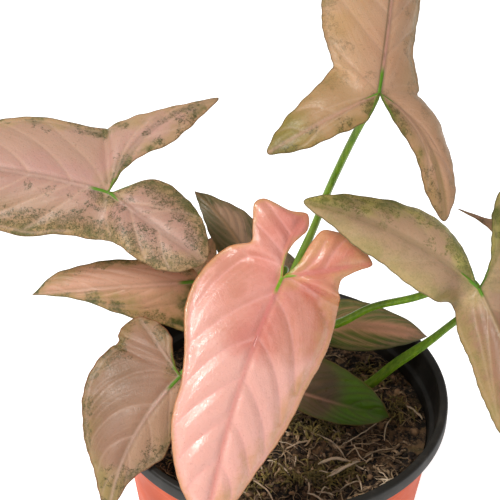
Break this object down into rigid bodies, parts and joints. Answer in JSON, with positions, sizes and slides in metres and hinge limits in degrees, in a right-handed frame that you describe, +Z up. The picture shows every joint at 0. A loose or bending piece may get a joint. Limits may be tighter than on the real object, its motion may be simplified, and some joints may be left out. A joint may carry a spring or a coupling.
{
  "type": "potted syngonium",
  "caption": "Small pink arrowhead plant with long-stalked arrowhead leaves, growing from dark soil in a round tapered two-tone nursery pot.",
  "frame": {"origin": "middle of the pot's flat underside", "axes": "+Z up out of the pot, -Y towards the plant's front, +X to the right of someone who looks at that front"},
  "size_m": [0.267, 0.141, 0.228],
  "materials": {
    "pot": "moulded nursery-pot plastic, terracotta outside with a satin black lip and inside",
    "soil": "dark damp potting soil with pale straw fibres and bark bits",
    "stalk": "smooth fleshy green stalk, faintly ribbed",
    "leaf_pink": "satin salmon-pink leaf with sunken veins",
    "leaf_blush": "satin dusty-pink leaf with green speckles and an olive margin",
    "leaf_tan": "satin tan-pink leaf with an olive speckled margin",
    "leaf_olive": "satin dark olive leaf with pink patches along its veins",
    "leaf_green": "satin dark green young leaf with a pinkish midrib"
  },
  "bodies": {
    "root": {"nursery_pot": "pot", "potting_soil": "soil", "petioles_left": "stalk", "petioles_middle": "stalk", "petioles_right": "stalk", "blade_front_pink": "leaf_pink", "blade_left_big": "leaf_blush", "blade_low_left": "leaf_blush", "blade_drooping_left": "leaf_blush", "blade_far_right": "leaf_blush", "blade_top": "leaf_tan", "blade_right_big": "leaf_tan", "blade_back_olive": "leaf_olive", "blade_right_olive": "leaf_olive", "blade_juvenile": "leaf_green"}
  },
  "joints": []
}
